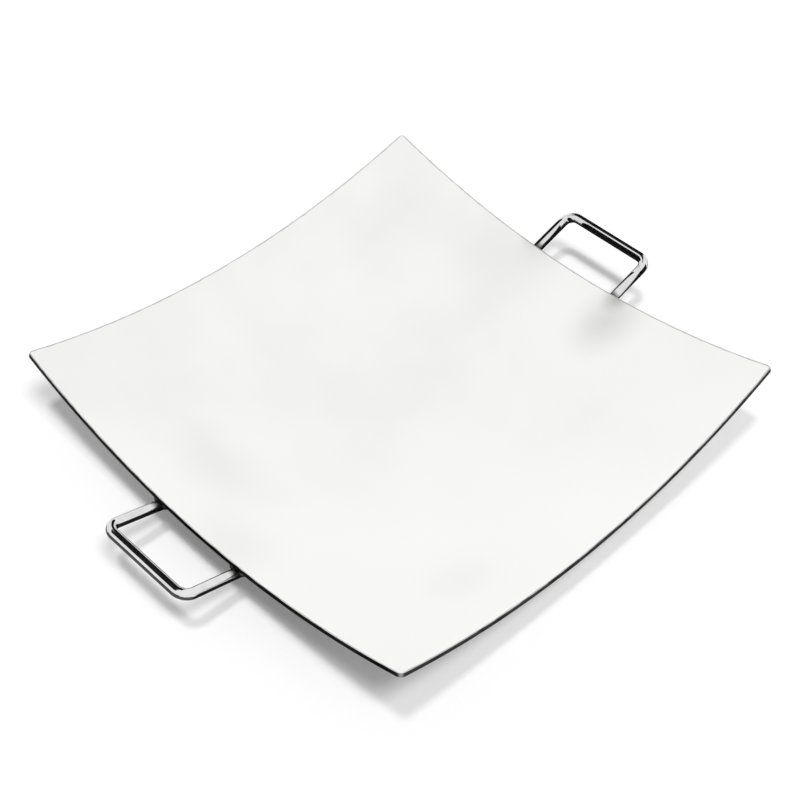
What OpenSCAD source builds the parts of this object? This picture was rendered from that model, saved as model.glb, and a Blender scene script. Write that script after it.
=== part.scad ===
// Camp griddle plate: a square steel sheet pressed into a shallow round dish that stands on its belly,
// with a bent rod handle welded under the middle of two opposite edges.
// The origin is the lowest point of the belly, +Z is up and the handles lie along X.

/* [Plate] */
// Side of the flat square blank before it is pressed
blank_w = 400; // [300:5:550]
// Radius of the dish, to the sheet's upper face
dish_r = 592; // [450:1:1200]
// Thickness of the sheet
sheet_t = 3; // [2:0.5:6]
// Rounding of the four corners
corner_r = 4; // [3:0.5:20]
// Width of the small bevel that takes the sharpness off the cut edges
edge_break = 0.4; // [0.1:0.1:0.8]

/* [Handles] */
// Diameter of the handle rod
rod_d = 8; // [5:0.5:12]
// Distance between the centrelines of a handle's two legs
handle_w = 82; // [60:1:140]
// Distance from the plate's edge to the centreline of the grip, along the legs
grip_reach = 45; // [30:1:80]
// Radius of the bends, on the rod's centreline
bend_r = 9; // [7:0.5:20]
// Length of each leg that lies under the plate
leg_overlap = 36; // [24:1:60]
// Gap between rod and plate where they come closest
seat_gap = 0.05; // [0.05:0.05:0.3]
// Bevel on the sawn ends of the rod
end_break = 0.6; // [0.2:0.1:1]

/* [Welds] */
// Radius of the drops of metal that make up a weld bead
drop_r = 2.8; // [2:0.1:4]
// Greatest distance from one drop to the next
drop_pitch = 2; // [1.5:0.1:3]
// Depth to which the drops sink into rod and sheet
drop_sink = 1.4; // [1:0.1:1.6]
// Distance from the plate's edge to the middle of a bead's first drop
weld_start = 3; // [2:0.5:8]
// Distance from the rod's end to the middle of a bead's last drop
weld_stop = 4; // [3:0.5:10]

/* [Hidden] */

// Fineness of the wide curves, and of the rods and drops
wide_fn = 360;
round_fn = 64;

// How far cutting shapes reach past the faces that they cut
past = 1;

// The dish: both faces of the sheet are spheres about one centre
belly_r = dish_r + sheet_t;

// Pressing keeps lengths along the blank, so an edge's middle and the corners lie at these angles
edge_angle = (blank_w / 2) / dish_r * 180 / PI;
corner_angle = (blank_w / sqrt(2)) / dish_r * 180 / PI;

// Each pressed edge lies in a plane that leans in towards its corners
edge_out = dish_r * sin(edge_angle);
corner_out = dish_r * sin(corner_angle) / sqrt(2);
edge_up = dish_r * (1 - cos(edge_angle));
corner_up = dish_r * (1 - cos(corner_angle));
lean = atan((edge_out - corner_out) / (corner_up - edge_up));

// Half the angle between two edges where they meet, measured on the sheet
corner_dir = [sin(corner_angle) / sqrt(2), sin(corner_angle) / sqrt(2), -cos(corner_angle)];
side_dir = cross(corner_dir, [cos(lean), 0, sin(lean)]);
next_dir = cross([0, cos(lean), sin(lean)], corner_dir);
corner_half = acos((side_dir * next_dir) / (norm(side_dir) * norm(next_dir))) / 2;

// The corner arcs are set out a little, so that they cross the edges and don't only graze them
corner_cross = 20;
corner_inset = corner_r * cos(corner_cross) / sin(corner_half);

// Section of a cut edge: depth into the sheet, and how far the bevels draw it back there
cut_section = [
    [-past, edge_break + past],
    [0, edge_break],
    [edge_break, 0],
    [sheet_t - edge_break, 0],
    [sheet_t, edge_break],
    [sheet_t + past, edge_break + past]
];

// The pressed blank is trimmed: half its turn about Y with some spare, and the strip that each edge loses
spare_turn = 1;
blank_turn = asin(corner_out / sqrt(pow(dish_r, 2) - pow(corner_out, 2))) + spare_turn;
strip = (blank_turn - edge_angle) * PI / 180 * dish_r + 5 * past;

// The corner arcs leave the edges at this distance from the sharp corner, and the cut along an edge
// stops a hair short of that place, inside what the corner cut takes away
arc_start = corner_r * (cos(corner_cross) / tan(corner_half) - sin(corner_cross));
short_stop = 0.25;
edge_ring_r = dish_r * cos(edge_angle - lean);
edge_turn = asin(corner_out / edge_ring_r) - (arc_start + short_stop) / edge_ring_r * 180 / PI;

// The legs are straight, and touch the belly halfway along their overlap
rod_r = rod_d / 2;
axis_r = belly_r + seat_gap + rod_r;
axis_side_r = sqrt(pow(axis_r, 2) - pow(handle_w / 2, 2));
leg_slope = edge_angle - atan((leg_overlap / 2) / axis_side_r);
leg_roll = asin(handle_w / 2 / axis_r);
leg_inner = -leg_overlap / 2;
leg_outer = leg_overlap / 2 + grip_reach - bend_r;

// The drops of a bead lie in a row beside the rod, sunk by the same depth into rod and belly
drop_off_rod = rod_r + drop_r - drop_sink;
drop_off_dish = belly_r + drop_r - drop_sink;
drop_up = (pow(drop_off_rod, 2) + pow(axis_r, 2) - pow(drop_off_dish, 2)) / (2 * axis_r);
drop_side = sqrt(pow(drop_off_rod, 2) - pow(drop_up, 2));
drop_turn = atan(drop_side / (axis_r - drop_up));
weld_length = leg_overlap - weld_start - weld_stop;
drop_gaps = ceil(weld_length / drop_pitch);
drop_step = weld_length / drop_gaps;

// A point of an edge's cutting profile, by its depth into the sheet and its set-back from the edge
function cut_point(depth, back) =
    let (turn = 90 - edge_angle + lean + back / dish_r * 180 / PI)
    [(dish_r + depth) * sin(turn), (dish_r + depth) * cos(turn)];

// A point of the belly's arc in a plane through the dish's centre, from the arc's lowest point
function belly_point(along) = [along, belly_r - sqrt(pow(belly_r, 2) - pow(along, 2))];

// Moves to the centre of the dish's spheres
module at_centre() {
    translate([0, 0, belly_r]) children();
}

// The pressed blank before its edges are trimmed: an arc of the dish swept about an axis along Y
module pressed_blank() {
    at_centre()
        rotate([90, 0, 0])
            rotate([0, 0, 270 - blank_turn])
                rotate_extrude(angle = 2 * blank_turn, $fn = wide_fn)
                    intersection() {
                        difference() {
                            circle(belly_r, $fn = wide_fn);
                            circle(dish_r, $fn = wide_fn);
                        }
                        translate([0, -blank_w / 2])
                            square([belly_r + past, blank_w]);
                    }
}

// The strip beyond one edge of the plate: part of a ring whose inner side is square to the sheet
module beyond_edge(turn) {
    at_centre()
        rotate([0, 0, turn])
            rotate([0, 90 - lean, 0])
                rotate([0, 0, -edge_turn])
                    rotate_extrude(angle = 2 * edge_turn, $fn = wide_fn)
                        polygon(concat(
                            [cut_point(-past, -strip)],
                            [for (p = cut_section) cut_point(p[0], p[1])],
                            [cut_point(sheet_t + past, -strip)]
                        ));
}

// What lies beyond a rounded corner, around an axis square to the sheet
module beyond_corner(turn) {
    reach = strip + 2 * corner_r;
    depth = sheet_t + reach / 2;
    half = 90 - corner_half;
    at_centre()
        rotate([0, 0, turn])
            rotate([0, 180 - corner_angle + corner_inset / dish_r * 180 / PI, 0])
                difference() {
                    translate([0, 0, dish_r - depth / 2])
                        linear_extrude(depth)
                            polygon([
                                [0, 0],
                                [-reach * cos(half), reach * sin(half)],
                                [-2 * reach, 0],
                                [-reach * cos(half), -reach * sin(half)]
                            ]);
                    rotate_extrude($fn = round_fn)
                        polygon(concat(
                            [[0, dish_r - past]],
                            [for (p = cut_section) [corner_r - p[1], dish_r + p[0]]],
                            [[0, belly_r + past]]
                        ));
                }
}

// The pressed sheet
module plate() {
    color("gainsboro")
        difference() {
            difference() {
                pressed_blank();
                for (turn = [0 : 90 : 270]) beyond_edge(turn);
            }
            for (turn = [45 : 90 : 315]) beyond_corner(turn);
        }
}

// Turns the right-hand shapes half round for the left side
module on_side(side) {
    rotate([0, 0, side > 0 ? 0 : 180]) children();
}

// Frame of a handle: X out along the legs, Y across, its zero where the legs touch the belly
module in_handle() {
    translate([axis_side_r * sin(leg_slope), 0, belly_r - axis_side_r * cos(leg_slope)])
        rotate([0, -leg_slope, 0])
            children();
}

// One straight leg of a handle, with its sawn end bevelled
module leg() {
    translate([leg_inner, handle_w / 2, 0])
        rotate([0, 90, 0]) {
            cylinder(end_break, rod_r - end_break, rod_r, $fn = round_fn);
            translate([0, 0, end_break])
                cylinder(leg_outer - leg_inner - end_break, r = rod_r, $fn = round_fn);
        }
}

// One bend of a handle, from a leg into the grip
module bend() {
    translate([leg_outer, handle_w / 2 - bend_r, 0])
        rotate_extrude(angle = 90, $fn = 4 * round_fn)
            translate([bend_r, 0])
                circle(rod_r, $fn = round_fn);
}

// A handle bent from one length of rod
module handle(side) {
    grip_half = handle_w / 2 - bend_r;
    color("silver")
        on_side(side)
            in_handle() {
                for (flip = [0, 1]) {
                    mirror([0, flip, 0]) {
                        leg();
                        bend();
                    }
                }
                translate([leg_outer + bend_r, grip_half, 0])
                    rotate([90, 0, 0])
                        cylinder(2 * grip_half, r = rod_r, $fn = round_fn);
            }
}

// A straight row of drops that run into each other, standing along Z
module drops() {
    rotate_extrude($fn = round_fn)
        intersection() {
            for (step = [0 : drop_gaps]) {
                translate([0, step * drop_step])
                    circle(drop_r, $fn = round_fn);
            }
            translate([0, -drop_r])
                square([drop_r, weld_length + 2 * drop_r]);
        }
}

// The sheet over a bead, in a leg's frame: a slab whose lower side follows the belly along the leg
module sheet_over(sign) {
    half = leg_overlap / 2 + 2 * drop_r;
    steps = 16;
    translate([0, 0, axis_r])
        rotate([sign * drop_turn, 0, 0])
            translate([0, 0, -belly_r])
                rotate([90, 0, 0])
                    linear_extrude(4 * drop_r, center = true)
                        polygon(concat(
                            [for (i = [0 : steps]) belly_point(half * (2 * i / steps - 1))],
                            [[half, 4 * drop_r], [-half, 4 * drop_r]]
                        ));
}

// One weld bead: a row of drops along one side of one leg, between the rod and the belly.
// leg_sign picks the leg (1 is towards +Y on the right side), face the side of the rod (1 is away
// from the handle's middle).
module weld(side, leg_sign, face) {
    sign = leg_sign * face;
    color("darkgray")
        on_side(side)
            in_handle()
                translate([0, leg_sign * handle_w / 2, 0])
                    rotate([leg_sign * leg_roll, 0, 0])
                        difference() {
                            translate([leg_inner + weld_stop, sign * drop_side, drop_up])
                                rotate([0, 90, 0])
                                    drops();
                            translate([leg_inner - past, 0, 0])
                                rotate([0, 90, 0])
                                    cylinder(leg_overlap + 2 * past, r = rod_r, $fn = round_fn);
                            sheet_over(sign);
                        }
}

module left_handle() {
    handle(-1);
}

module right_handle() {
    handle(1);
}

module left_front_outer_weld() {
    weld(-1, 1, 1);
}

module left_front_inner_weld() {
    weld(-1, 1, -1);
}

module left_rear_inner_weld() {
    weld(-1, -1, -1);
}

module left_rear_outer_weld() {
    weld(-1, -1, 1);
}

module right_front_outer_weld() {
    weld(1, -1, 1);
}

module right_front_inner_weld() {
    weld(1, -1, -1);
}

module right_rear_inner_weld() {
    weld(1, 1, -1);
}

module right_rear_outer_weld() {
    weld(1, 1, 1);
}

plate();
left_handle();
right_handle();
left_front_outer_weld();
left_front_inner_weld();
left_rear_inner_weld();
left_rear_outer_weld();
right_front_outer_weld();
right_front_inner_weld();
right_rear_inner_weld();
right_rear_outer_weld();
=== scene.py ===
# %% [markdown]
# # A camp griddle plate
#
# The object is one square of stainless sheet, pressed into a shallow round dish that stands on its
# own belly, with a loop of bent rod welded under two opposite edges. The CAD frame already holds
# the sizes, so this lesson is about looks: a sheet with softened edges, a drawn rod, rippled welds,
# and metal finishes made from nodes alone.

import math

import bpy
from mathutils import Matrix, Vector


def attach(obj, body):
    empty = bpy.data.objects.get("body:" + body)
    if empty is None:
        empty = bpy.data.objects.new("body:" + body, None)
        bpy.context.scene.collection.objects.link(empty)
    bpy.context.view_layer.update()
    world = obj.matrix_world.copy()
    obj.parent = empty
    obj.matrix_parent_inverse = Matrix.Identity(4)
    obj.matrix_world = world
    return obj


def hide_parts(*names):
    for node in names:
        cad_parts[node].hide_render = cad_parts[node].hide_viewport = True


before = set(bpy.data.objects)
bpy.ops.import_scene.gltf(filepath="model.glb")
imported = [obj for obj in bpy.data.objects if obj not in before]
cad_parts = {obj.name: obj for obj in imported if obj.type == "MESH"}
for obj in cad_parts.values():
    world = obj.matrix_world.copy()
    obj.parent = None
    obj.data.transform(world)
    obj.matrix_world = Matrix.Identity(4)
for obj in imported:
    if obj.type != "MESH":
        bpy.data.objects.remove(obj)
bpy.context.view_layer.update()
scene = bpy.context.scene
print("nodes:", sorted(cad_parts))

# %% [markdown]
# ## Sizes
#
# A pressed plate has few sizes of its own: the blank it was cut from, the radius of the dish, the
# thickness of the sheet and of the rod, and the loop of the handle. Everything else follows from
# them, so they are named once, in metres. Pressing keeps lengths along the sheet, so half the blank
# divided by the dish's radius is the angle at which the middle of an edge lies. The edge is a plane
# curve that leans in towards its corners.

# %% Driving sizes, in metres
BLANK = 0.400
DISH_R = 0.592
SHEET_T = 0.003
CORNER_R = 0.004
ARRIS = 0.0004
ROD_R = 0.004
HANDLE_W = 0.082
GRIP_REACH = 0.045
BEND_R = 0.009
LEG_OVERLAP = 0.036
SEAT_GAP = 0.00005

BELLY_R = DISH_R + SHEET_T
EDGE_ANGLE = BLANK / 2 / DISH_R
CORNER_ANGLE = BLANK / math.sqrt(2) / DISH_R
edge_out = DISH_R * math.sin(EDGE_ANGLE)
corner_out = DISH_R * math.sin(CORNER_ANGLE) / math.sqrt(2)
edge_up = DISH_R * (1 - math.cos(EDGE_ANGLE))
corner_up = DISH_R * (1 - math.cos(CORNER_ANGLE))
LEAN = math.atan((edge_out - corner_out) / (corner_up - edge_up))
print("edge angle %.2f, corner angle %.2f, lean %.2f degrees" % tuple(
    math.degrees(a) for a in (EDGE_ANGLE, CORNER_ANGLE, LEAN)))

# %% [markdown]
# ## A helper for meshes
#
# Every piece of the object is made the same way: a list of points and a list of faces become a mesh,
# and the mesh takes the place of one CAD node. Blender's own primitives would be quicker, but a list
# of points lets each piece follow its real form. One helper does the part that repeats.

# %% Helper for meshes
def piece_from(name, points, faces, node):
    """Makes a smooth mesh object that stands for one CAD node and rides on the one body."""
    mesh = bpy.data.meshes.new(name)
    mesh.from_pydata(points, [], faces)
    mesh.validate()
    mesh.polygons.foreach_set("use_smooth", [True] * len(mesh.polygons))
    made = bpy.data.objects.new(name, mesh)
    scene.collection.objects.link(made)
    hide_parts(node)
    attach(made, "root")
    return made


print("mesh helper ready")

# %% [markdown]
# ## The pressed sheet
#
# The dish could be a sphere cut by a square, but a sphere's poles make a poor grid. Here the grid
# is laid out on the flat blank instead, from -1 to 1 each way, and each line of it is pressed on to
# the ball as the die does it: line s lies in a plane that leans in by its share of the edge's lean.
# Two such planes and the ball give one point. The last cells at each corner are squeezed into a
# quarter circle, so the corner is round without any cut.

# %% Points of the pressed sheet
MIDDLE_CELLS = 132
CORNER_CELLS = 7
CORNER_SHARE = CORNER_R / (BLANK / 2)


def grid_lines():
    """Stops from -1 to 1: even cells between the corners, small cells inside them."""
    inner = 1 - CORNER_SHARE
    middle = [inner * (2 * i / MIDDLE_CELLS - 1) for i in range(MIDDLE_CELLS + 1)]
    corner = [inner + CORNER_SHARE * (i + 1) / CORNER_CELLS for i in range(CORNER_CELLS)]
    return [-c for c in reversed(corner)] + middle + corner


def round_corner(s, t):
    """Squeezes the square corner cells into a quarter disc."""
    inner = 1 - CORNER_SHARE
    x, y = (abs(s) - inner) / CORNER_SHARE, (abs(t) - inner) / CORNER_SHARE
    if x <= 0 or y <= 0:
        return s, t
    rx, ry = x * math.sqrt(1 - y * y / 2), y * math.sqrt(1 - x * x / 2)
    return math.copysign(inner + CORNER_SHARE * rx, s), math.copysign(inner + CORNER_SHARE * ry, t)


def pressed(s, t, depth):
    """The point of blank position s, t on the ball, depth below the sheet's upper face."""
    a0, a1 = math.sin((EDGE_ANGLE - LEAN) * s) / math.cos(LEAN * s), -math.tan(LEAN * s)
    b0, b1 = math.sin((EDGE_ANGLE - LEAN) * t) / math.cos(LEAN * t), -math.tan(LEAN * t)
    p, q, r = 1 + a1 * a1 + b1 * b1, a0 * a1 + b0 * b1, a0 * a0 + b0 * b0 - 1
    down = (-q - math.sqrt(q * q - p * r)) / p
    reach = DISH_R + depth
    return reach * (a0 + a1 * down), reach * (b0 + b1 * down), BELLY_R + reach * down


print("mid-edge of the upper face:", [round(c, 4) for c in pressed(1, 0, 0)])

# %% [markdown]
# ## Closing the sheet
#
# The upper and the lower face use the same grid, and one ring of faces joins them along the cut
# edge. The ring and the lower face get materials of their own, because a cut edge is rougher than
# the rolled face and is painted darker, and the side towards the fire isn't brushed. Each point also
# stores how far it is from the cut edge, for a thin grey line painted along it. A Bevel modifier breaks
# the sharp arris as a file does, and a Weighted Normal modifier keeps the wide faces smooth up to it.

# %% Build the sheet
ARRIS_SEGMENTS = 3
ARRIS_ANGLE = math.radians(50)
UPPER_FINISH, EDGE_FINISH, FIRE_FINISH = 0, 1, 2


def rim_walk(n):
    """The grid's outermost places, as row and column, once round the sheet."""
    front = [(0, c) for c in range(n - 1)]
    right = [(r, n - 1) for r in range(n - 1)]
    rear = [(n - 1, c) for c in range(n - 1, 0, -1)]
    left = [(r, 0) for r in range(n - 1, 0, -1)]
    return front + right + rear + left


def sheet_mesh_lists():
    """Points, faces, the finish of each face, and each point's distance from the cut edge."""
    lines = grid_lines()
    n = len(lines)
    points, rim_room, faces, finishes = [], [], [], []
    for depth in (0.0, SHEET_T):
        for t in lines:
            points.extend(pressed(*round_corner(s, t), depth) for s in lines)
            rim_room.extend((1 - max(abs(s), abs(t))) * BLANK / 2 for s in lines)

    def index(layer, row, col):
        return layer * n * n + row * n + col

    for row in range(n - 1):
        for col in range(n - 1):
            quad = [(row, col), (row, col + 1), (row + 1, col + 1), (row + 1, col)]
            faces.append([index(0, *c) for c in quad])
            faces.append([index(1, *c) for c in reversed(quad)])
            finishes.extend((UPPER_FINISH, FIRE_FINISH))
    rim = rim_walk(n)
    for here, after in zip(rim, rim[1:] + rim[:1]):
        faces.append([index(0, *here), index(1, *here), index(1, *after), index(0, *after)])
        finishes.append(EDGE_FINISH)
    return points, faces, finishes, rim_room


def build_sheet():
    points, faces, finishes, rim_room = sheet_mesh_lists()
    made = piece_from("griddle_sheet", points, faces, "plate")
    made.data.polygons.foreach_set("material_index", finishes)
    room = made.data.attributes.new("rim_room", "FLOAT", "POINT")
    room.data.foreach_set("value", rim_room)
    arris = made.modifiers.new("broken arris", "BEVEL")
    arris.width = ARRIS
    arris.segments = ARRIS_SEGMENTS
    arris.limit_method = "ANGLE"
    arris.angle_limit = ARRIS_ANGLE
    arris.material = EDGE_FINISH
    normals = made.modifiers.new("flat faces first", "WEIGHTED_NORMAL")
    normals.keep_sharp = True
    return made


sheet = build_sheet()
print("sheet:", len(sheet.data.vertices), "points")

# %% [markdown]
# ## The handles
#
# Each handle is one length of round rod with two tight bends. A curve with a round bevel would do,
# but a bent rod isn't quite round in its bends: the outside is drawn thin and the section goes a
# little oval. So the rod is swept by hand. First comes the place of a handle: its legs lie against
# the belly of the dish, on the middle of an edge, and follow the slope of the sheet there.

# %% Frame of a handle
LEFT, RIGHT = -1, 1
AXIS_R = BELLY_R + SEAT_GAP + ROD_R
AXIS_SIDE_R = math.sqrt(AXIS_R ** 2 - (HANDLE_W / 2) ** 2)
LEG_SLOPE = EDGE_ANGLE - math.atan(LEG_OVERLAP / 2 / AXIS_SIDE_R)
LEG_ROLL = math.asin(HANDLE_W / 2 / AXIS_R)
LEG_INNER = -LEG_OVERLAP / 2
LEG_OUTER = LEG_OVERLAP / 2 + GRIP_REACH - BEND_R


def handle_frame(side):
    """From the handle's own axes, X out along the legs, to the part's."""
    turn = Matrix.Rotation(0 if side == RIGHT else math.pi, 4, "Z")
    seat = Matrix.Translation((AXIS_SIDE_R * math.sin(LEG_SLOPE), 0,
                               BELLY_R - AXIS_SIDE_R * math.cos(LEG_SLOPE)))
    return turn @ seat @ Matrix.Rotation(-LEG_SLOPE, 4, "Y")


print("leg slope %.2f degrees" % math.degrees(LEG_SLOPE))

# %% [markdown]
# ## The line of the rod
#
# A bender makes the loop from straight rod: a leg, a quarter turn, half the grip, and then the same
# again the other way round. The line down the middle of the rod follows those steps. Each stop on it
# has a place and a direction, and says how far it is into a bend, where the rod is most out of round.
# Only the first half is worked out. The second half is its mirror image.

# %% Centreline of a rod
BEND_STEPS = 28
LEG_STEPS = 30
GRIP_STEPS = 24


def rod_stations():
    """Stops along one handle, each a point, a direction, and 0 to 1 for how hard it bends there."""
    half = HANDLE_W / 2
    grip = half - BEND_R
    out = [(Vector((LEG_INNER + (LEG_OUTER - LEG_INNER) * i / LEG_STEPS, half, 0)),
            Vector((1, 0, 0)), 0.0) for i in range(LEG_STEPS)]
    centre = Vector((LEG_OUTER, grip, 0))
    for i in range(BEND_STEPS):
        a = math.pi / 2 * i / BEND_STEPS
        out.append((centre + BEND_R * Vector((math.sin(a), math.cos(a), 0)),
                    Vector((math.cos(a), -math.sin(a), 0)), math.sin(2 * a)))
    for i in range(GRIP_STEPS // 2 + 1):
        out.append((Vector((LEG_OUTER + BEND_R, grip * (1 - 2 * i / GRIP_STEPS), 0)),
                    Vector((0, -1, 0)), 0.0))
    flipped = [(Vector((p.x, -p.y, p.z)), Vector((-d.x, d.y, d.z)), b) for p, d, b in out[:-1]]
    return out + flipped[::-1]


print(len(rod_stations()), "stops along a rod")

# %% [markdown]
# ## Sweeping the rod
#
# A ring of points is set round the line at each stop, and neighbouring rings are joined by faces. The
# sawn ends are closed with a small bevel. Each point also stores where it is on the rod, so that the
# draw marks of the finish can run along it, round the bends as well.

# %% Sweep the rods
RING = 48
END_BREAK = 0.0006
BEND_OVAL = 0.025


def rod_rings():
    """The stops with a radius each, and one smaller ring at each sawn end."""
    stations = rod_stations()
    (first, first_way, _), (last, last_way, _) = stations[0], stations[-1]
    rings = [(p, d, b, ROD_R) for p, d, b in stations[1:-1]]
    rings.insert(0, (first + first_way * END_BREAK, first_way, 0.0, ROD_R))
    rings.insert(0, (first, first_way, 0.0, ROD_R - END_BREAK))
    rings.append((last - last_way * END_BREAK, last_way, 0.0, ROD_R))
    rings.append((last, last_way, 0.0, ROD_R - END_BREAK))
    return rings


def tube_faces(rings, sides):
    """Faces of a closed tube: a band between each two rings, and a cap on each end."""
    faces = []
    for k in range(rings - 1):
        for j in range(sides):
            i = (j + 1) % sides
            faces.append([k * sides + j, k * sides + i, (k + 1) * sides + i, (k + 1) * sides + j])
    faces.append(list(range(sides))[::-1])
    faces.append([(rings - 1) * sides + j for j in range(sides)])
    return faces


def sweep_rod(name, node, side):
    to_part = handle_frame(side)
    points, spots = [], []
    along = 0.0
    rings = rod_rings()
    for k, (p, d, b, radius) in enumerate(rings):
        if k:
            along += (p - rings[k - 1][0]).length
        across = Vector((0, 0, 1)).cross(d)
        wide, high = radius * (1 - BEND_OVAL * b), radius * (1 + BEND_OVAL * b)
        for j in range(RING):
            a = 2 * math.pi * j / RING
            offset = across * (wide * math.cos(a)) + Vector((0, 0, high * math.sin(a)))
            points.append(to_part @ (p + offset))
            spots.append((along, math.cos(a), math.sin(a)))
    made = piece_from(name, points, tube_faces(len(rings), RING), node)
    where = made.data.attributes.new("rod_place", "FLOAT_VECTOR", "POINT")
    where.data.foreach_set("vector", [c for spot in spots for c in spot])
    for face in made.data.polygons[-2:]:
        face.use_smooth = False
    return made, along


left_rod, rod_length = sweep_rod("left_rod", "left_handle", LEFT)
right_rod, rod_length = sweep_rod("right_rod", "right_handle", RIGHT)
print("rod length %.1f mm" % (rod_length * 1000))

# %% [markdown]
# ## The weld beads
#
# Under the plate, each leg is held by two beads, one on each side. A bead is laid down drop by drop,
# so its back shows bowed ripples, like coins pushed over. It could be a bump in the material, but
# it is seen from the side against the bare rod, so the ripples are real. A bead is swept as a round
# string whose radius steps with each drop, sunk into both the rod and the sheet.

# %% Shape of a bead
DROP_R = 0.0028
DROP_PITCH = 0.0022
DROP_SINK = 0.0014
WELD_START = 0.003
WELD_STOP = 0.004
RIPPLE = 0.11
RIPPLE_BOW = 0.55
RIPPLE_POWER = 1.7
SLOW_WANDER, SLOW_RATE = 0.05, 900
QUICK_WANDER, QUICK_RATE = 0.03, 2300
off_rod = ROD_R + DROP_R - DROP_SINK
off_dish = BELLY_R + DROP_R - DROP_SINK
DROP_UP = (off_rod ** 2 + AXIS_R ** 2 - off_dish ** 2) / (2 * AXIS_R)
DROP_SIDE = math.sqrt(off_rod ** 2 - DROP_UP ** 2)
BEAD_LENGTH = LEG_OVERLAP - WELD_START - WELD_STOP
DROPS = round(BEAD_LENGTH / DROP_PITCH)


def bead_radius(x, out):
    """Radius of a bead at x along it. out is 1 on its open back, 0 at its sides."""
    share = (x / BEAD_LENGTH * DROPS + RIPPLE_BOW * (1 - out)) % 1.0
    crest = 1 - RIPPLE * (1 - share) ** RIPPLE_POWER
    slow, quick = math.sin(x * SLOW_RATE), math.sin(x * QUICK_RATE + 1)
    wander = 1 + SLOW_WANDER * slow + QUICK_WANDER * quick
    beyond = max(-x, x - BEAD_LENGTH, 0) / DROP_R
    return DROP_R * crest * wander * math.sqrt(max(1 - beyond * beyond, 0.0))


print("a bead is %.0f mm long, with %d drops" % (BEAD_LENGTH * 1000, DROPS))

# %% [markdown]
# ## Laying the beads
#
# All eight beads are one form. A loop goes over both handles, both legs of each and both sides of each
# leg, and turns the form into its place between rod and belly. Front and rear change sides between
# the handles, because the left handle is the right one turned half round.

# %% Lay the beads
BEAD_RING = 28
STEPS_PER_DROP = 8
END_SHARE = 0.985
OPEN_SIDE, OPEN_DOWN = 0.75, -0.66
OUTER, INNER = 1, -1


def lay_bead(name, side, leg_sign, face):
    sign = leg_sign * face
    to_part = handle_frame(side) @ Matrix.Translation((0, leg_sign * HANDLE_W / 2, 0))
    to_part = to_part @ Matrix.Rotation(leg_sign * LEG_ROLL, 4, "X")
    open_way = Vector((0, sign * OPEN_SIDE, OPEN_DOWN))
    steps = DROPS * STEPS_PER_DROP
    reach = DROP_R * END_SHARE
    points = []
    for k in range(steps + 1):
        x = -reach + (BEAD_LENGTH + 2 * reach) * k / steps
        centre = Vector((LEG_INNER + WELD_STOP + x, sign * DROP_SIDE, DROP_UP))
        for j in range(BEAD_RING):
            a = 2 * math.pi * j / BEAD_RING
            way = Vector((0, math.cos(a), math.sin(a)))
            radius = bead_radius(x, max(way.dot(open_way), 0.0))
            points.append(to_part @ (centre + way * radius))
    faces = tube_faces(steps + 1, BEAD_RING)
    return piece_from(name + "_bead", points, faces, name + "_weld")


beads = []
for side, side_name in ((LEFT, "left"), (RIGHT, "right")):
    for leg_sign in (1, -1):
        end = "front" if side * leg_sign < 0 else "rear"
        for face, face_name in ((OUTER, "outer"), (INNER, "inner")):
            beads.append(lay_bead("_".join((side_name, end, face_name)), side, leg_sign, face))
print("beads:", [bead.name for bead in beads])

# %% [markdown]
# ## Helpers for finishes
#
# A material in Blender is a net of nodes. Made by hand it is drawn in the Shader Editor. Here a few
# helpers add a node and fill its sockets, so that a finish reads as a list of steps. Each takes plain
# values or the outputs of other nodes, and gives back an output for the next step.

# %% Helpers for finishes
def fill_socket(tree, socket, value):
    """Links an output to the socket, or sets the socket to a plain value."""
    if isinstance(value, bpy.types.NodeSocket):
        tree.links.new(value, socket)
    else:
        socket.default_value = value


def add(tree, kind, inputs=(), **settings):
    """Adds a node with its settings, then fills the named sockets."""
    made = tree.nodes.new(kind)
    for key, value in settings.items():
        setattr(made, key, value)
    for key, value in dict(inputs).items():
        fill_socket(tree, made.inputs[key], value)
    return made


def math_node(tree, operation, *values):
    """One step of arithmetic on single numbers."""
    return add(tree, "ShaderNodeMath", enumerate(values), operation=operation).outputs[0]


def vector_node(tree, operation, *values):
    """One step of arithmetic on vectors. A length or a dot product gives a number."""
    made = add(tree, "ShaderNodeVectorMath", enumerate(values), operation=operation)
    return made.outputs["Value" if operation in ("DOT_PRODUCT", "LENGTH") else "Vector"]


def ramp_between(tree, value, low, high, to_low=0.0, to_high=1.0):
    """A soft step from to_low to to_high as the value goes from low to high."""
    made = add(tree, "ShaderNodeMapRange", {
        "Value": value, "From Min": low, "From Max": high, "To Min": to_low, "To Max": to_high,
    }, interpolation_type="SMOOTHSTEP")
    return made.outputs["Result"]


def mix_colour(tree, factor, first, second):
    """The first colour where the factor is 0, the second where it is 1."""
    made = add(tree, "ShaderNodeMix", data_type="RGBA")
    for name, value in (("Factor_Float", factor), ("A_Color", first), ("B_Color", second)):
        fill_socket(tree, next(s for s in made.inputs if s.identifier == name), value)
    return next(s for s in made.outputs if s.identifier == "Result_Color")


def noise(tree, place, scale, detail):
    """Cloudy values around one half. A larger scale makes smaller clouds."""
    made = add(tree, "ShaderNodeTexNoise", {"Vector": place, "Scale": scale, "Detail": detail})
    return made.outputs["Fac"]


def streaks(tree, place, stretch, detail):
    """Noise that is drawn out into lines along the way with the smallest stretch."""
    drawn = add(tree, "ShaderNodeMapping", {"Vector": place, "Scale": stretch})
    return noise(tree, drawn.outputs["Vector"], 1.0, detail)


def grey(value, warm=0.0):
    """A metal's grey, a little warmer or cooler than neutral."""
    return (value * (1 + warm), value, value * (1 - warm), 1.0)


print("node helpers ready")

# %% [markdown]
# ## A bare metal
#
# All four finishes of the object are metals. They start as the same Principled shader with Metallic at
# one, and end with three things: a colour, a roughness and a fine bump. So one function makes the
# start, and one puts the three things in.

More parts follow.
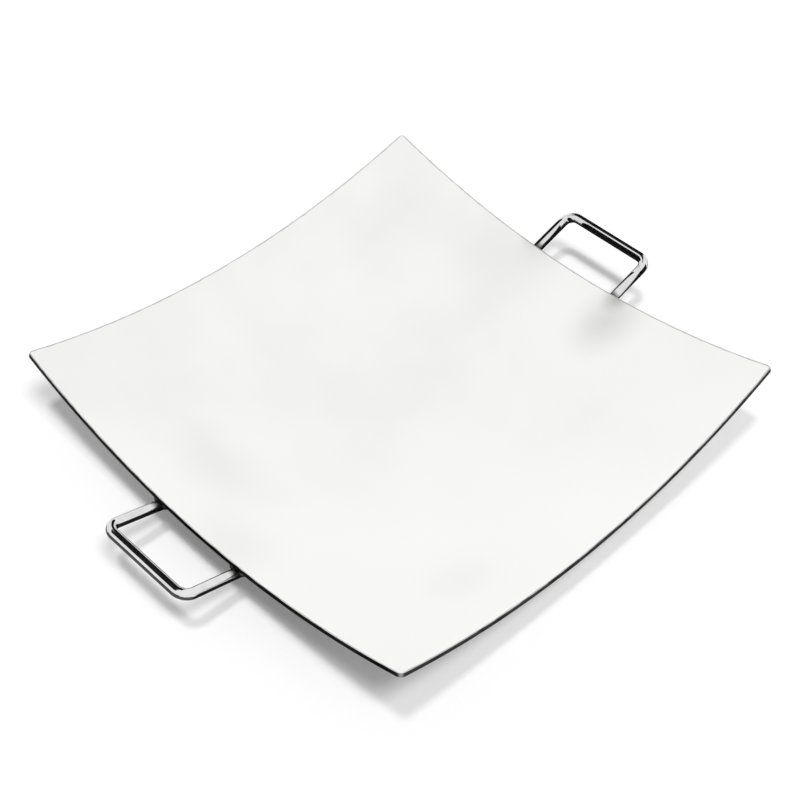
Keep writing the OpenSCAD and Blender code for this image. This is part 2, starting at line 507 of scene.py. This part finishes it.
# %% A bare metal
NOISE_LOW, NOISE_HIGH = 0.3, 0.7


def new_metal(name):
    """An empty metal: a Principled shader with its output, and the object's own coordinates."""
    material = bpy.data.materials.new(name)
    material.use_nodes = True
    tree = material.node_tree
    tree.nodes.clear()
    output = tree.nodes.new("ShaderNodeOutputMaterial")
    shader = add(tree, "ShaderNodeBsdfPrincipled", {"Metallic": 1.0})
    tree.links.new(shader.outputs["BSDF"], output.inputs["Surface"])
    place = tree.nodes.new("ShaderNodeTexCoord").outputs["Object"]
    return material, tree, shader, place


def finish_metal(tree, shader, tone, rough, height, strength, distance):
    """Puts colour, roughness and a fine bump into a metal's shader."""
    bump = add(tree, "ShaderNodeBump", {"Strength": strength, "Distance": distance, "Height": height})
    fill_socket(tree, shader.inputs["Base Color"], tone)
    fill_socket(tree, shader.inputs["Roughness"], rough)
    fill_socket(tree, shader.inputs["Normal"], bump.outputs["Normal"])


print("most noise lies between", NOISE_LOW, "and", NOISE_HIGH)

# %% [markdown]
# ## Satin sheet
#
# The brushed face is a bright satin: it shows the studio as a soft white, with faint clouds where the
# finish varies, and a painted highlight lightens its colour towards the front corner. A metal's look
# is its reflection, so the colour stays near white and the finish is carried by roughness and by a very
# fine bump. Duller marks lie over the welded legs, where the heat came through. Each is a soft oval on
# the plan of the plate, made ragged by the noise of the clouds. Along the edge a thin broken grey line
# is painted into the colour.

# %% Satin finish for the sheet
CLOUD_SCALE = 9.0
CLOUD_LOW, CLOUD_HIGH = 0.32, 0.68
CLOUD_DARK = (0.882, 0.885, 0.866, 1)
CLOUD_LIGHT = (0.928, 0.931, 0.912, 1)
FRONT_PAINTED_HIGHLIGHT = (0.98, 0.98, 0.96, 1)
FRONT_WAY = (-0.8, -1.0, 0.0)
FRONT_BEGIN, FRONT_END, FRONT_SHARE = -0.01, 0.17, 0.75
BRUSH_STRETCH = (30.0, 1800.0, 400.0)
SPECK_SCALE = 1500.0
DULL = grey(0.42, 0.01)
MARK_RAGGED, MARK_CORE, MARK_REACH = 0.4, 0.15, 1.3
RIM_LINE, RIM_DEPTH = 0.0013, 0.8
RIM_FULL, RIM_GONE = RIM_LINE * 0.9, RIM_LINE * 1.6
RIM_RAGGED_SCALE = 130.0
DULL_MARKS = (
    ("right front leg", (0.174, -0.055), (0.046, 0.034), 0.40),
    ("right front root", (0.196, -0.048), (0.018, 0.014), 0.80),
    ("right rear leg", (0.178, 0.042), (0.070, 0.055), 0.15),
    ("left front leg", (-0.185, -0.020), (0.040, 0.050), 0.12),
    ("left rear leg", (-0.138, 0.045), (0.040, 0.070), 0.12),
    ("front cloud", (-0.090, -0.148), (0.045, 0.030), 0.07),
    ("rear cloud", (0.130, 0.150), (0.050, 0.034), 0.07),
)


def satin_sheet():
    material, tree, shader, place = new_metal("satin_sheet")
    clouds = noise(tree, place, CLOUD_SCALE, 3.0)
    cloud = ramp_between(tree, clouds, CLOUD_LOW, CLOUD_HIGH)
    tone = mix_colour(tree, cloud, CLOUD_DARK, CLOUD_LIGHT)
    # Painted highlight: the colour is lightened towards the front corner.
    forward = vector_node(tree, "DOT_PRODUCT", place, FRONT_WAY)
    light = ramp_between(tree, forward, FRONT_BEGIN, FRONT_END, 0.0, FRONT_SHARE)
    tone = mix_colour(tree, light, tone, FRONT_PAINTED_HIGHLIGHT)
    for name, (x, y), (half_x, half_y), depth in DULL_MARKS:
        offset = vector_node(tree, "SUBTRACT", place, (x, y, 0.0))
        shares = vector_node(tree, "MULTIPLY", offset, (1 / half_x, 1 / half_y, 0.0))
        away = vector_node(tree, "LENGTH", shares)
        ragged = math_node(tree, "MULTIPLY_ADD", clouds, MARK_RAGGED, away)
        tone = mix_colour(tree, ramp_between(tree, ragged, MARK_CORE, MARK_REACH, depth, 0.0), tone, DULL)
        print("dull mark:", name)
    # A thin broken grey line is painted along the rim, made ragged by noise.
    room = add(tree, "ShaderNodeAttribute", attribute_name="rim_room").outputs["Fac"]
    ragged_rim_room = math_node(tree, "MULTIPLY_ADD", noise(tree, place, RIM_RAGGED_SCALE, 4.0), RIM_LINE, room)
    line = ramp_between(tree, ragged_rim_room, RIM_FULL, RIM_GONE, RIM_DEPTH, 0.0)
    tone = mix_colour(tree, line, tone, DULL)
    grain = streaks(tree, place, BRUSH_STRETCH, 3.0)
    rough = ramp_between(tree, grain, NOISE_LOW, NOISE_HIGH, 0.30, 0.38)
    rough = math_node(tree, "MULTIPLY_ADD", cloud, 0.05, rough)
    height = math_node(tree, "ADD", grain, noise(tree, place, SPECK_SCALE, 2.0))
    finish_metal(tree, shader, tone, rough, height, strength=0.12, distance=0.00005)
    return material


sheet.data.materials.append(satin_sheet())

# %% [markdown]
# ## Cut edge
#
# The blank was cut out of sheet, and the cut face is dull, with fine drag lines across the thickness.
# Its colour is nearly black, a painted dark reflection on top of the dull cut. Along any one edge only
# x or only y changes, so the sum of both counts along all four edges, and a noise of that sum gives
# lines that run straight across the cut. The upper arris, known by the way its faces look up, was filed
# bright in places, and that bright colour is also a painted highlight along it.

# %% Finish for the cut edge
DRAG_SCALE = 1400.0
CUT_BLOTCH_SCALE = 60.0
CUT_LOW, CUT_HIGH = 0.12, 0.4
CUT_DARK_REFLECTION, CUT_PALER_REFLECTION, FILED_HIGHLIGHT = grey(0.008), grey(0.05), grey(0.80)
FILED_SCALE = 90.0
FILED_LOW, FILED_HIGH = 0.38, 0.55
ARRIS_TURN, ARRIS_UP = 0.35, 0.6


def cut_edge():
    material, tree, shader, place = new_metal("cut_edge")
    along = vector_node(tree, "DOT_PRODUCT", place, (1.0, 1.0, 0.0))
    drag = add(tree, "ShaderNodeTexNoise", {"W": along, "Scale": DRAG_SCALE, "Detail": 4.0},
               noise_dimensions="1D").outputs["Fac"]
    mixed = math_node(tree, "MULTIPLY", drag, noise(tree, place, CUT_BLOTCH_SCALE, 2.0))
    # The cut face's nearly black colour is a painted dark reflection on the dull cut.
    tone = mix_colour(tree, ramp_between(tree, mixed, CUT_LOW, CUT_HIGH), CUT_DARK_REFLECTION, CUT_PALER_REFLECTION)
    facing = tree.nodes.new("ShaderNodeNewGeometry").outputs["Normal"]
    upward = add(tree, "ShaderNodeSeparateXYZ", {"Vector": facing}).outputs["Z"]
    filed_highlight = ramp_between(tree, noise(tree, place, FILED_SCALE, 3.0), FILED_LOW, FILED_HIGH)
    on_arris = ramp_between(tree, upward, ARRIS_TURN, ARRIS_UP)
    # Painted highlight: bright colour on the upper arris, where it was filed in places.
    tone = mix_colour(tree, math_node(tree, "MULTIPLY", on_arris, filed_highlight), tone, FILED_HIGHLIGHT)
    rough = ramp_between(tree, drag, NOISE_LOW, NOISE_HIGH, 0.38, 0.55)
    finish_metal(tree, shader, tone, rough, drag, strength=0.5, distance=0.0001)
    return material


sheet.data.materials.append(cut_edge())
print("edge finish:", sheet.data.materials[EDGE_FINISH].name)

# %% [markdown]
# ## Fire side
#
# The lower face keeps the dull grey of the rolling mill, painted darker as well: painted shade for the
# underside of the dish and its reflection in the rods. Around the four legs the welding heat has left
# temper colours in rings: grey at the weld, then blue, violet and straw. All four legs are alike, so
# the place is folded on to one quarter with absolute values, and one distance serves them all.

# %% Finish for the fire side
MILL_AND_SHADE_DARK, MILL_AND_SHADE_LIGHT = grey(0.46), grey(0.56, 0.01)
MILL_BLOTCH_SCALE = 24.0
ROLL_STRETCH = (25.0, 900.0, 200.0)
TEMPER_REACH = 0.030
TEMPER_RAGGED = 0.010
TEMPER_END, MILL_BEGIN = 0.6, 1.1
TEMPER_COLOURS = (
    ("scorched grey", 0.22, (0.17, 0.17, 0.18, 1)),
    ("blue", 0.34, (0.20, 0.23, 0.33, 1)),
    ("violet", 0.46, (0.30, 0.24, 0.32, 1)),
    ("straw", 0.60, (0.48, 0.37, 0.22, 1)),
    ("pale straw", 0.78, (0.50, 0.45, 0.36, 1)),
)


def colour_stops(tree, value, stops):
    """A colour that changes with the value, through named stops from the lowest to the highest."""
    ramp = add(tree, "ShaderNodeValToRGB", {"Fac": value})
    elements = ramp.color_ramp.elements
    elements[0].position, elements[0].color = stops[0][1:]
    elements[1].position, elements[1].color = stops[-1][1:]
    for _, position, colour in stops[1:-1]:
        elements.new(position).color = colour
    return ramp.outputs["Color"]


def fire_side():
    material, tree, shader, place = new_metal("fire_side")
    blotch = noise(tree, place, MILL_BLOTCH_SCALE, 5.0)
    # The mill grey is painted darker as well, as painted shade for the dish's underside.
    mill_and_shade = mix_colour(tree, ramp_between(tree, blotch, NOISE_LOW, NOISE_HIGH), MILL_AND_SHADE_DARK, MILL_AND_SHADE_LIGHT)
    folded = vector_node(tree, "ABSOLUTE", place)
    offset = vector_node(tree, "SUBTRACT", folded, (edge_out - LEG_OVERLAP, HANDLE_W / 2, 0.0))
    inward = vector_node(tree, "MINIMUM", offset, (0.0, 1.0, 0.0))
    away = vector_node(tree, "LENGTH", vector_node(tree, "MULTIPLY", inward, (1.0, 1.0, 0.0)))
    ragged = math_node(tree, "MULTIPLY_ADD", blotch, TEMPER_RAGGED, away)
    share = math_node(tree, "DIVIDE", ragged, TEMPER_REACH)
    temper = colour_stops(tree, share, TEMPER_COLOURS)
    tone = mix_colour(tree, ramp_between(tree, share, TEMPER_END, MILL_BEGIN), temper, mill_and_shade)
    grain = streaks(tree, place, ROLL_STRETCH, 3.0)
    rough = ramp_between(tree, grain, NOISE_LOW, NOISE_HIGH, 0.36, 0.46)
    finish_metal(tree, shader, tone, rough, grain, strength=0.15, distance=0.00005)
    return material


sheet.data.materials.append(fire_side())
print("sheet finishes:", [m.name for m in sheet.data.materials])

# %% [markdown]
# ## Polished rod
#
# The rod is drawn steel with a bright polish: nearly a mirror, with faint marks along its length.
# The place stored on each point, along and around the rod, is stretched so that the noise becomes
# long thin lines. Next to the welds the rod has taken heat, and is painted dark and dull there, where
# it runs in under the plate's edge: heat tint and painted shade together.

# %% Finish for the rods
ROD_DARK, ROD_LIGHT = grey(0.70), grey(0.80)
DRAWN_STRETCH = (22.0, 16.0, 16.0)
SMEAR_SCALE = 70.0
SMEAR_LOW, SMEAR_HIGH = 0.35, 0.7
HEAT_AND_SHADE_TONE = (0.13, 0.12, 0.12, 1)
HEAT_AND_SHADE_RAGGED = 0.004
HEAT_AND_SHADE_FULL, HEAT_AND_SHADE_GONE = LEG_OVERLAP + 0.004, LEG_OVERLAP + 0.010


def polished_rod():
    material, tree, shader, place = new_metal("polished_rod")
    spot = add(tree, "ShaderNodeAttribute", attribute_name="rod_place").outputs["Vector"]
    smear = noise(tree, place, SMEAR_SCALE, 3.0)
    smeared = ramp_between(tree, smear, SMEAR_LOW, SMEAR_HIGH)
    tone = mix_colour(tree, smeared, ROD_DARK, ROD_LIGHT)
    along = add(tree, "ShaderNodeSeparateXYZ", {"Vector": spot}).outputs["X"]
    from_end = math_node(tree, "MINIMUM", along, math_node(tree, "SUBTRACT", rod_length, along))
    ragged = math_node(tree, "MULTIPLY_ADD", smear, HEAT_AND_SHADE_RAGGED, from_end)
    # Heat tint and painted shade: dark and dull for a few millimetres out from under the plate's edge.
    heat_and_shade = ramp_between(tree, ragged, HEAT_AND_SHADE_FULL, HEAT_AND_SHADE_GONE, 1.0, 0.0)
    tone = mix_colour(tree, heat_and_shade, tone, HEAT_AND_SHADE_TONE)
    drawn = streaks(tree, spot, DRAWN_STRETCH, 4.0)
    rough = ramp_between(tree, drawn, NOISE_LOW, NOISE_HIGH, 0.04, 0.10)
    rough = math_node(tree, "MULTIPLY_ADD", smeared, 0.05, rough)
    rough = math_node(tree, "MULTIPLY_ADD", heat_and_shade, 0.25, rough)
    finish_metal(tree, shader, tone, rough, drawn, strength=0.06, distance=0.0001)
    return material


rod_finish = polished_rod()
for rod in (left_rod, right_rod):
    rod.data.materials.append(rod_finish)
print("rod finish:", rod_finish.name)

# %% [markdown]
# ## Weld metal
#
# A bead that was left as welded is darker than the sheet, with a thin coloured skin of oxide. A plain
# grey would do from far away, but from below the beads are seen next to the bright rod, so a noise
# spreads patches of blue-grey, brown and grey over them.

# %% Finish for the beads
PATCH_SCALE = 240.0
OXIDE_GRAIN = 1800.0
OXIDE_COLOURS = (
    ("blue-grey", 0.30, (0.16, 0.17, 0.21, 1)),
    ("brown", 0.52, (0.22, 0.19, 0.17, 1)),
    ("grey", 0.72, (0.29, 0.28, 0.27, 1)),
)


def weld_metal():
    material, tree, shader, place = new_metal("weld_metal")
    patch = noise(tree, place, PATCH_SCALE, 3.0)
    tone = colour_stops(tree, patch, OXIDE_COLOURS)
    rough = ramp_between(tree, patch, NOISE_LOW, NOISE_HIGH, 0.28, 0.5)
    fine = noise(tree, place, OXIDE_GRAIN, 2.0)
    finish_metal(tree, shader, tone, rough, fine, strength=0.3, distance=0.0001)
    return material


bead_finish = weld_metal()
for bead in beads:
    bead.data.materials.append(bead_finish)
print("bead finish:", bead_finish.name)

# %% [markdown]
# ## Studio
#
# The photograph is a plain one on white, with two shadows under the dish. The floor could be a curved
# backdrop, but a flat sheet of white paper is enough, because the camera looks down and never sees
# its end. The paper glows a little for the camera alone, which keeps the shade from getting too deep
# without adding any light to the object. Paper and the cloth of the later cards are both flat sheets
# with no gloss, so one function makes either.

# %% White floor
FLOOR_HALF = 6.0
PAPER_GLOW = 0.15
PAPER_ROUGH = 0.9
FIBRE_SCALE = 500.0


def flat_sheet(name, corners, material_name, scale, dark, light, rough):
    """A sheet of the studio with a fine noise of two tones, and its nodes for further steps."""
    mesh = bpy.data.meshes.new(name)
    mesh.from_pydata(corners, [], [(0, 1, 2, 3)])
    made = bpy.data.objects.new(name, mesh)
    scene.collection.objects.link(made)
    material = bpy.data.materials.new(material_name)
    material.use_nodes = True
    tree = material.node_tree
    shader = tree.nodes["Principled BSDF"]
    place = tree.nodes.new("ShaderNodeTexCoord").outputs["Object"]
    tone = mix_colour(tree, noise(tree, place, scale, 2.0), dark, light)
    tree.links.new(tone, shader.inputs["Base Color"])
    shader.inputs["Roughness"].default_value = rough
    shader.inputs["Specular IOR Level"].default_value = 0.0
    mesh.materials.append(material)
    return made, tree, shader


def mix_into_output(tree, share, shader, other):
    """Shows the shader where the share is 0, and the other one where it is 1."""
    both = add(tree, "ShaderNodeMixShader", {0: share, 1: shader.outputs["BSDF"], 2: other.outputs[0]})
    tree.links.new(both.outputs[0], tree.nodes["Material Output"].inputs["Surface"])


def level_corners(x_low, x_high, y_low, y_high, z):
    """Corners of a sheet that lies level."""
    return [(x_low, y_low, z), (x_high, y_low, z), (x_high, y_high, z), (x_low, y_high, z)]


def white_floor():
    corners = level_corners(-FLOOR_HALF, FLOOR_HALF, -FLOOR_HALF, FLOOR_HALF, 0.0)
    _, tree, shader = flat_sheet("floor", corners, "white_paper", FIBRE_SCALE,
                                 grey(0.97), grey(0.99), PAPER_ROUGH)
    glow = add(tree, "ShaderNodeEmission", {"Color": (1, 1, 1, 1), "Strength": 1.0})
    by_camera = tree.nodes.new("ShaderNodeLightPath").outputs["Is Camera Ray"]
    mix_into_output(tree, math_node(tree, "MULTIPLY", by_camera, PAPER_GLOW), shader, glow)


white_floor()
print("floor: %.0f m square" % (2 * FLOOR_HALF))

# %% [markdown]
# ## White tent
#
# Bright metal shows whatever stands around it. Here that is a white tent: the world is plain white to
# the camera and to every reflection. As a light on the floor it is much dimmer, and dimmest near the
# horizon, so that the lamps' shadows stay in sight.

# %% White tent
FILL_HIGH = 0.34
FILL_LOW = 0.12
FULL_FILL_HEIGHT = 0.75


def white_tent():
    world = bpy.data.worlds.new("studio")
    scene.world = world
    world.use_nodes = True
    tree = world.node_tree
    tree.nodes.clear()
    way = tree.nodes.new("ShaderNodeTexCoord").outputs["Generated"]
    height = add(tree, "ShaderNodeSeparateXYZ", {"Vector": way}).outputs["Z"]
    level = ramp_between(tree, height, 0.0, FULL_FILL_HEIGHT, FILL_LOW, FILL_HIGH)
    fill = add(tree, "ShaderNodeBackground", {"Color": (1, 1, 1, 1), "Strength": level})
    white = add(tree, "ShaderNodeBackground", {"Color": (1, 1, 1, 1), "Strength": 1.0})
    rays = tree.nodes.new("ShaderNodeLightPath").outputs
    seen = math_node(tree, "MAXIMUM", rays["Is Camera Ray"], rays["Is Glossy Ray"])
    seen = math_node(tree, "MAXIMUM", seen, rays["Is Transmission Ray"])
    both = add(tree, "ShaderNodeMixShader", {0: seen, 1: fill.outputs[0], 2: white.outputs[0]})
    output = tree.nodes.new("ShaderNodeOutputWorld")
    tree.links.new(both.outputs[0], output.inputs["Surface"])


white_tent()
print("fill from %.2f at the horizon to %.2f above" % (FILL_LOW, FILL_HIGH))

# %% [markdown]
# ## Dark cards
#
# In an all-white tent a polished rod would vanish. Photographers hold dark cards next to chrome to
# give it an edge, and so do we. Their places come from following the mirrored view off each rod to
# where the photograph is dark. Small cards stand close to the bars and legs, and others lie on the
# floor below. Only reflections see them. A card also fades for a surface that is far from it, so
# that the wide plate stays clear of them.

# %% A dark card
FADE_NEAR_LOOP = (0.049, 0.060)
FADE_BESIDE = (0.22, 0.28)
FADE_FLOOR = (0.34, 0.44)
BLACK, CHARCOAL, DARK_GREY = 0.02, 0.05, 0.10
WEAVE_SCALE = 300.0


def upright_corners(start, end, z_low, z_high):
    """Corners of a sheet that stands on edge from one place of the plan to another."""
    return [(*start, z_low), (*end, z_low), (*end, z_high), (*start, z_high)]


def dark_card(name, corners, shade, fade):
    """A card of dark cloth. Reflections see it in full up to the first fade distance, not past the last."""
    card, tree, shader = flat_sheet(name, corners, name + "_cloth", WEAVE_SCALE,
                                    grey(shade / 2), grey(shade * 3 / 2), 1.0)
    length = tree.nodes.new("ShaderNodeLightPath").outputs["Ray Length"]
    gone = add(tree, "ShaderNodeBsdfTransparent")
    mix_into_output(tree, ramp_between(tree, length, *fade), shader, gone)
    card.visible_camera = False
    card.visible_diffuse = False
    card.visible_shadow = False
    print("card:", name)


print("cards fade over %.3f to %.3f m near the loops" % FADE_NEAR_LOOP)

# %% [markdown]
# ## Placing the cards
#
# The left handle is the near one. It has a dark band along its inner half, from the card above the
# bar and the one inside the loop, and a dark line along its outer side, from the floor and a low card.
# The bar of the right handle is dark nearly all over, so it has cards above, beyond and within its
# loop. The legs show the floor next to them, and cards lying there paint that floor dark in their
# reflections, with painted shade where the dish's shadow lies.

# %% Cards around the handles
ON_FLOOR = 0.001
ABOVE_BAR = 0.080
IN_LOOP = 0.2275
BEYOND_BAR = 0.261
BEHIND_LEG = 0.056
BAR_FRONT, BAR_REAR = -0.030, 0.060

dark_card("left_top_card", level_corners(-0.2635, -IN_LOOP, BAR_FRONT, BAR_REAR, ABOVE_BAR),
          BLACK, FADE_NEAR_LOOP)
dark_card("left_loop_card", upright_corners((-IN_LOOP, -0.032), (-IN_LOOP, 0.052), 0.050, 0.092),
          BLACK, FADE_NEAR_LOOP)
dark_card("left_low_card", upright_corners((-0.380, -0.100), (-0.380, 0.220), 0.0, 0.060),
          DARK_GREY, FADE_BESIDE)
dark_card("left_floor_card", level_corners(-0.600, -0.236, -0.250, 0.250, ON_FLOOR),
          DARK_GREY, FADE_FLOOR)
# These two cards lie in and beside the dish's shadow, and paint it darker where the legs reflect it.
dark_card("left_leg_card", level_corners(-0.236, -0.194, -0.150, 0.070, ON_FLOOR),
          BLACK, FADE_BESIDE)
dark_card("left_under_card", level_corners(-0.194, -0.136, -0.200, 0.060, ON_FLOOR),
          CHARCOAL, FADE_BESIDE)
dark_card("right_card", upright_corners((0.250, -0.117), (0.310, -0.093), ON_FLOOR, 0.109),
          BLACK, FADE_BESIDE)
dark_card("right_loop_card", upright_corners((IN_LOOP, -0.031), (IN_LOOP, 0.031), 0.0, 0.068),
          BLACK, FADE_BESIDE)
dark_card("right_floor_card", level_corners(0.195, 0.355, -0.120, 0.120, ON_FLOOR),
          BLACK, FADE_BESIDE)
dark_card("right_top_card", level_corners(0.2395, BEYOND_BAR, BAR_FRONT, BAR_REAR, ABOVE_BAR),
          BLACK, FADE_NEAR_LOOP)
dark_card("right_side_card",
          upright_corners((BEYOND_BAR, BAR_FRONT), (BEYOND_BAR, BAR_REAR), 0.010, ABOVE_BAR),
          BLACK, FADE_NEAR_LOOP)
dark_card("right_leg_card", upright_corners((0.199, BEHIND_LEG), (0.235, BEHIND_LEG), 0.0, 0.075),
          BLACK, FADE_NEAR_LOOP)

# %% [markdown]
# ## Soft lamps
#
# One lamp stands nearly overhead and one at the front. Each gives one of the two shadows, and their
# edges tell how wide the lamps were: the front one is the softer. A sun lamp with a wide angle does
# that at any distance. Its strength is worked out from its share of the floor's white.

# %% Soft lamps
def toward(azimuth, elevation):
    """Unit vector to a place in the studio; azimuth turns from +X to +Y, both in degrees."""
    a, e = math.radians(azimuth), math.radians(elevation)
    return Vector((math.cos(e) * math.cos(a), math.cos(e) * math.sin(a), math.sin(e)))


def soft_lamp(name, azimuth, elevation, spread, floor_share):
    """A wide lamp far away. floor_share is how much of the floor's white it gives."""
    lamp = bpy.data.lights.new(name, "SUN")
    lamp.angle = math.radians(spread)
    lamp.energy = floor_share * math.pi / math.sin(math.radians(elevation))
    made = bpy.data.objects.new(name, lamp)
    scene.collection.objects.link(made)
    made.rotation_euler = toward(azimuth, elevation).to_track_quat("Z", "Y").to_euler()
    made.visible_glossy = False
    print(name, "%.2f W/m2" % lamp.energy)


soft_lamp("top_lamp", azimuth=-154, elevation=79, spread=7, floor_share=0.29)
soft_lamp("front_lamp", azimuth=-109, elevation=64, spread=16, floor_share=0.46)

# %% [markdown]
# ## Camera
#
# The camera was fitted to the four corners and the edges in the photograph. It stands at the front
# left, a good metre away, looking down at about 46 degrees, with a roll of two degrees because the
# photographer didn't hold it quite level.

# %% Camera
CAMERA_AZIMUTH = -46.417
CAMERA_ELEVATION = 46.447
CAMERA_AWAY = 1.1595
CAMERA_ROLL = 2.124
LOOK_AT = Vector((0, 0, 0.02593))
IMAGE_SIDE = 800
FOCAL_PIXELS = 1542.4
SENSOR = 36.0
NEAREST = 0.01


def photo_camera():
    lens = bpy.data.cameras.new("photo_camera")
    lens.sensor_width = SENSOR
    lens.lens = FOCAL_PIXELS * SENSOR / IMAGE_SIDE
    lens.clip_start = NEAREST
    camera = bpy.data.objects.new("photo_camera", lens)
    scene.collection.objects.link(camera)
    back = toward(CAMERA_AZIMUTH - 90, CAMERA_ELEVATION)
    right = (-back).cross(Vector((0, 0, 1))).normalized()
    roll = math.radians(CAMERA_ROLL)
    up = right.cross(-back)
    tilted = right * math.cos(roll) + up * math.sin(roll)
    upward = up * math.cos(roll) - right * math.sin(roll)
    turn = Matrix((tilted, upward, back)).transposed().to_4x4()
    camera.matrix_world = Matrix.Translation(LOOK_AT + back * CAMERA_AWAY) @ turn
    scene.camera = camera


photo_camera()
scene.view_settings.view_transform = "Standard"
print("camera at", [round(c, 3) for c in scene.camera.location])

# %% [markdown]
#
# At the end the view layer is brought up to date.

# %% Update the view layer
bpy.context.view_layer.update()
